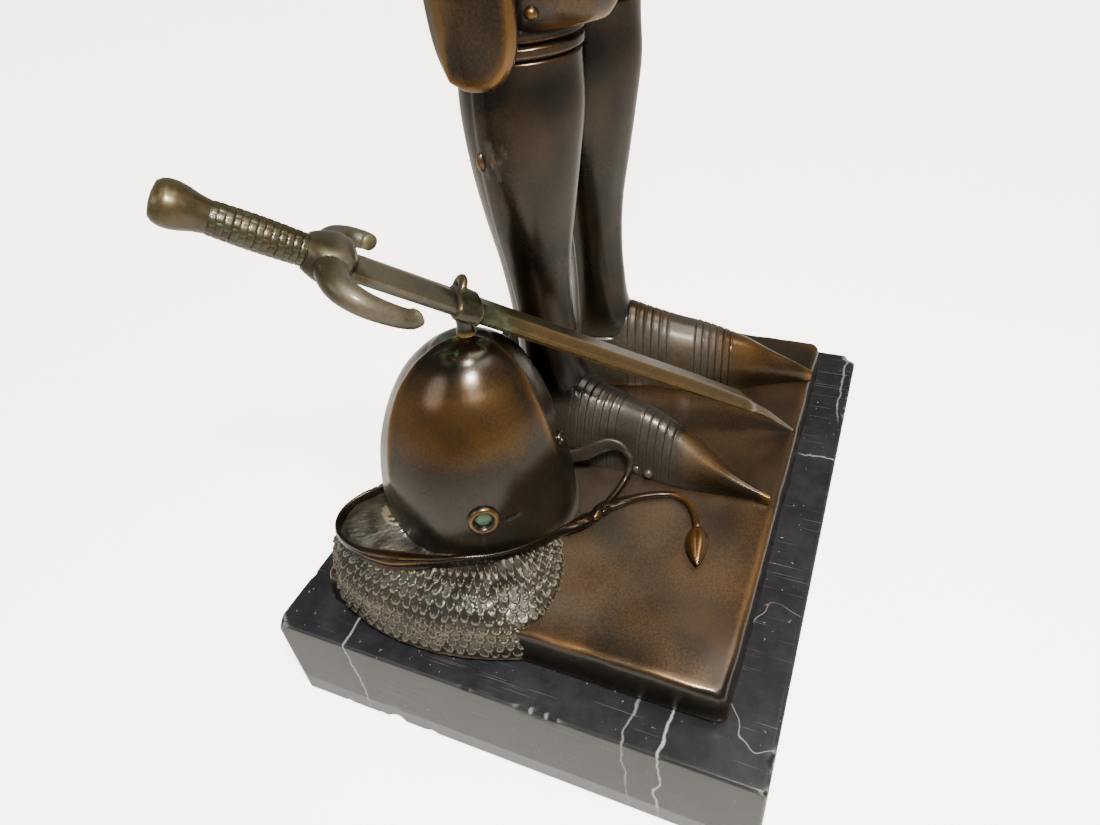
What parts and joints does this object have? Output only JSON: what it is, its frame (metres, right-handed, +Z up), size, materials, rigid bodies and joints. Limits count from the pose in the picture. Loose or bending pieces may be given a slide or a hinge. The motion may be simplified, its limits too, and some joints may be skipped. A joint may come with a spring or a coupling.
{
  "type": "armoured maid statuette",
  "caption": "Bronze statuette of a young woman in plate armour praying beside her helmet and sword, on a black marble plinth.",
  "frame": {"origin": "centre of the plinth's underside", "axes": "+Z up along the figure, the figure faces -Y, helmet and sword hilt at her right on the -X side"},
  "size_m": [0.158, 0.128, 0.4347],
  "materials": {
    "marble": "polished black marble with white veins",
    "bronze": "dark brown patina rubbed to gold on the high spots",
    "sword_bronze": "olive brown patina with green bloom"
  },
  "bodies": {
    "root": {"marble_plinth": "marble", "figure_casting": "bronze", "sword": "sword_bronze"}
  },
  "joints": []
}
